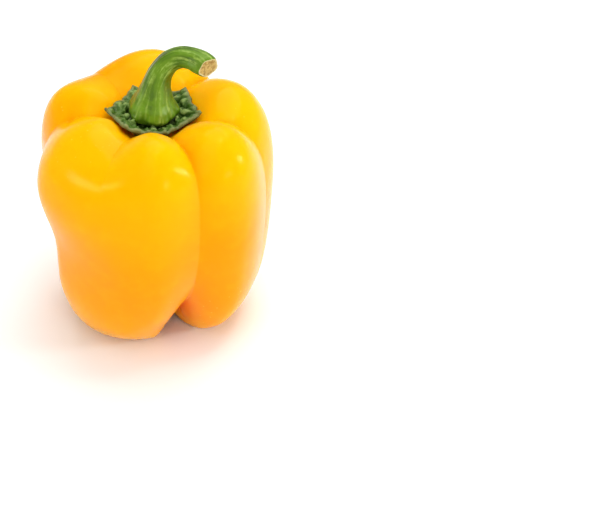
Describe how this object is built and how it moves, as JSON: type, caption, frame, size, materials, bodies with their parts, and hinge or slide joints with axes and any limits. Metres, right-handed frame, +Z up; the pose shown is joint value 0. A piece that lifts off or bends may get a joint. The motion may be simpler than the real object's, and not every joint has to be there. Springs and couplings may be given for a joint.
{
  "type": "bell pepper",
  "caption": "Whole blocky bell pepper with rounded lobes, a crinkled green calyx in its top hollow and a short hooked cut stem; stands on the feet of its lobes.",
  "frame": {"origin": "on the surface it stands on, at the middle of the bounding box seen from above", "axes": "+Z up along the fruit's core towards the stem, -Y towards the side that the picture shows, +X towards the side that the stem's cut end points to"},
  "size_m": [0.0828, 0.085, 0.1105],
  "materials": {
    "fruit_skin": "smooth waxy yellow skin, glossy, orange in the grooves",
    "calyx_green": "crinkled dark green leaf collar with a pale grey-green rim",
    "stem_green": "satin fresh green with pale lengthwise streaks, tan fibrous cut end"
  },
  "bodies": {
    "root": {"fruit": "fruit_skin", "calyx": "calyx_green", "stem": "stem_green"}
  },
  "joints": []
}
